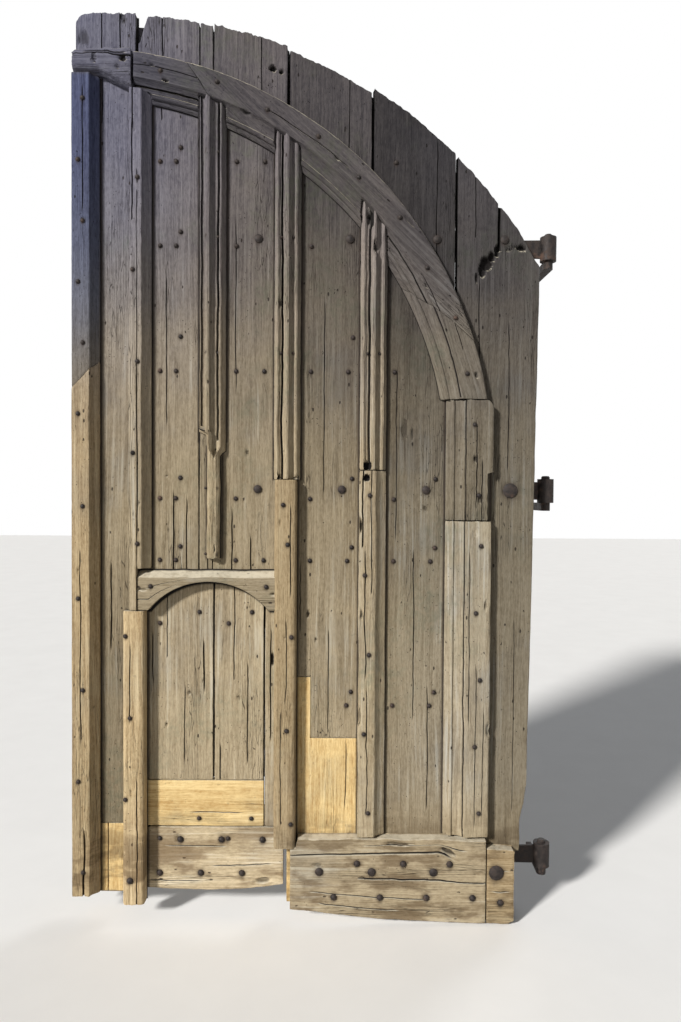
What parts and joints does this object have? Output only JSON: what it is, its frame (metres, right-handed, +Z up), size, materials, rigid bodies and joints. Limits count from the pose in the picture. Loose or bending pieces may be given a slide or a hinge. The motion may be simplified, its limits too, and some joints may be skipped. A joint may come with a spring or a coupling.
{
  "type": "arched plank gate leaf",
  "caption": "Quarter-arch oak gate leaf of moulded planks with a framed back, a wicket door, strap hinges and wall pintles.",
  "frame": {"origin": "on the hinge axis, at the height of the lower pintle's tail centreline", "axes": "+Z up the hinge axis, -X along the leaf to its meeting edge, -Y out of its moulded weather face, +Y into the wall"},
  "size_m": [2.1364, 0.425, 3.9729],
  "materials": {
    "oak": "weathered bare oak",
    "mended_oak": "weathered bare oak, younger repairs",
    "new_oak": "new bare oak",
    "iron": "wrought iron, dark and rusty"
  },
  "bodies": {
    "wall_pintles": {"pintle_lower": "iron", "pintle_middle": "iron", "pintle_upper": "iron"},
    "leaf": {"arch_crown_block": "oak", "arch_rib_crown": "oak", "arch_rib_haunch": "oak", "arch_rib_middle": "oak", "board_1": "oak", "board_1_foot_left": "new_oak", "board_1_foot_right": "new_oak", "board_2": "oak", "board_3": "oak", "board_4": "oak", "board_5": "oak", "board_5_patch": "new_oak", "board_6": "oak", "board_7": "oak", "bolt_keeper": "iron", "bottom_rail": "oak", "bottom_rail_end": "mended_oak", "frame_arch": "oak", "hanging_post": "oak", "heel_post": "oak", "hinge_rivets": "iron", "leaf_nails": "iron", "ledge_bottom": "oak", "ledge_crown": "oak", "ledge_header": "oak", "ledge_lower": "oak", "ledge_middle": "oak", "ledge_upper": "oak", "ledge_waist": "oak", "meeting_post": "oak", "meeting_stile_lower": "mended_oak", "meeting_stile_upper": "oak", "muntin_1": "oak", "muntin_2": "oak", "muntin_3_foot": "mended_oak", "muntin_3_upper": "oak", "muntin_4_lower": "oak", "muntin_4_upper": "oak", "rib_jamb_lower": "oak", "rib_jamb_upper": "oak", "strap_lower": "iron", "strap_middle": "iron", "strap_upper": "iron", "wicket_head": "oak", "wicket_jamb": "mended_oak", "wicket_pintles": "iron"},
    "wicket": {"bolt_staples": "iron", "wicket_board_left": "oak", "wicket_board_middle": "oak", "wicket_board_right": "oak", "wicket_foot_board": "oak", "wicket_ledge_high": "oak", "wicket_ledge_low": "oak", "wicket_nails": "iron", "wicket_patch": "new_oak", "wicket_straps": "iron"},
    "wicket_bolt": {"wicket_bolt": "iron"}
  },
  "joints": [
    {"name": "leaf_swing", "type": "hinge", "parent": "wall_pintles", "child": "leaf", "pos_m": [0, 0, 0], "axis": [0, 0, 1], "range_deg": [0, 90]},
    {"name": "wicket_swing", "type": "hinge", "parent": "leaf", "child": "wicket", "pos_m": [-1.1854, -0.033, 0], "axis": [0, 0, -1], "range_deg": [0, 95]},
    {"name": "wicket_bolt_slide", "type": "slide", "parent": "wicket", "child": "wicket_bolt", "axis": [-1, 0, 0], "range_m": [0, 0.06]}
  ]
}
